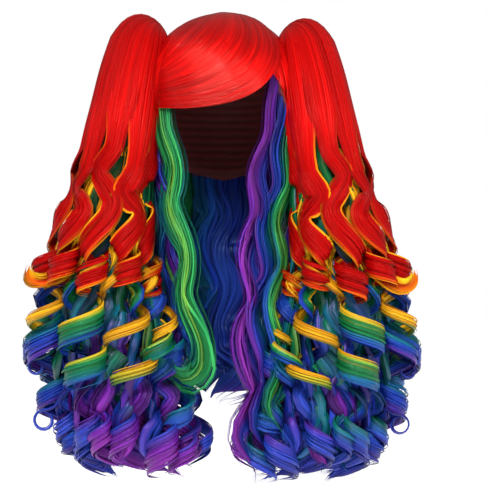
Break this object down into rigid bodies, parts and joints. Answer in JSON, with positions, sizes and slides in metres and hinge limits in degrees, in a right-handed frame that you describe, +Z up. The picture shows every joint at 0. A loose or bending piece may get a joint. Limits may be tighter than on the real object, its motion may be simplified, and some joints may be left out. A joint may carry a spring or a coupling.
{
  "type": "pigtail wig",
  "caption": "Costume wig: hollow red crown, side-swept fringe, and curly clip-on pigtails running from red through gold, green and blue to violet over wavy base hair.",
  "frame": {"origin": "inside of the crown at its top, where the wig sits on the top of a head", "axes": "+Z up out of the crown, the face opening towards -Y, +X to the right as seen from the front"},
  "size_m": [0.4656, 0.2392, 0.5475],
  "materials": {
    "red_hair": "glossy synthetic hair",
    "gold_hair": "glossy synthetic hair",
    "green_hair": "glossy synthetic hair",
    "blue_hair": "glossy synthetic hair",
    "violet_hair": "glossy synthetic hair",
    "clip": "plain matt"
  },
  "bodies": {
    "root": {"crown": "red_hair", "fringe": "red_hair", "clip_left": "clip", "clip_right": "clip", "pigtail_left_red": "red_hair", "pigtail_right_red": "red_hair", "pigtail_left_gold": "gold_hair", "pigtail_right_gold": "gold_hair", "pigtail_left_green": "green_hair", "pigtail_right_green": "green_hair", "pigtail_left_blue": "blue_hair", "pigtail_right_blue": "blue_hair", "pigtail_left_violet": "violet_hair", "pigtail_right_violet": "violet_hair", "base_left_green": "green_hair", "base_left_violet": "violet_hair", "base_left_blue": "blue_hair", "base_back_green": "green_hair", "base_back_blue": "blue_hair", "base_back_violet": "violet_hair", "base_right_green": "green_hair", "base_right_blue": "blue_hair", "base_right_violet": "violet_hair"}
  },
  "joints": []
}
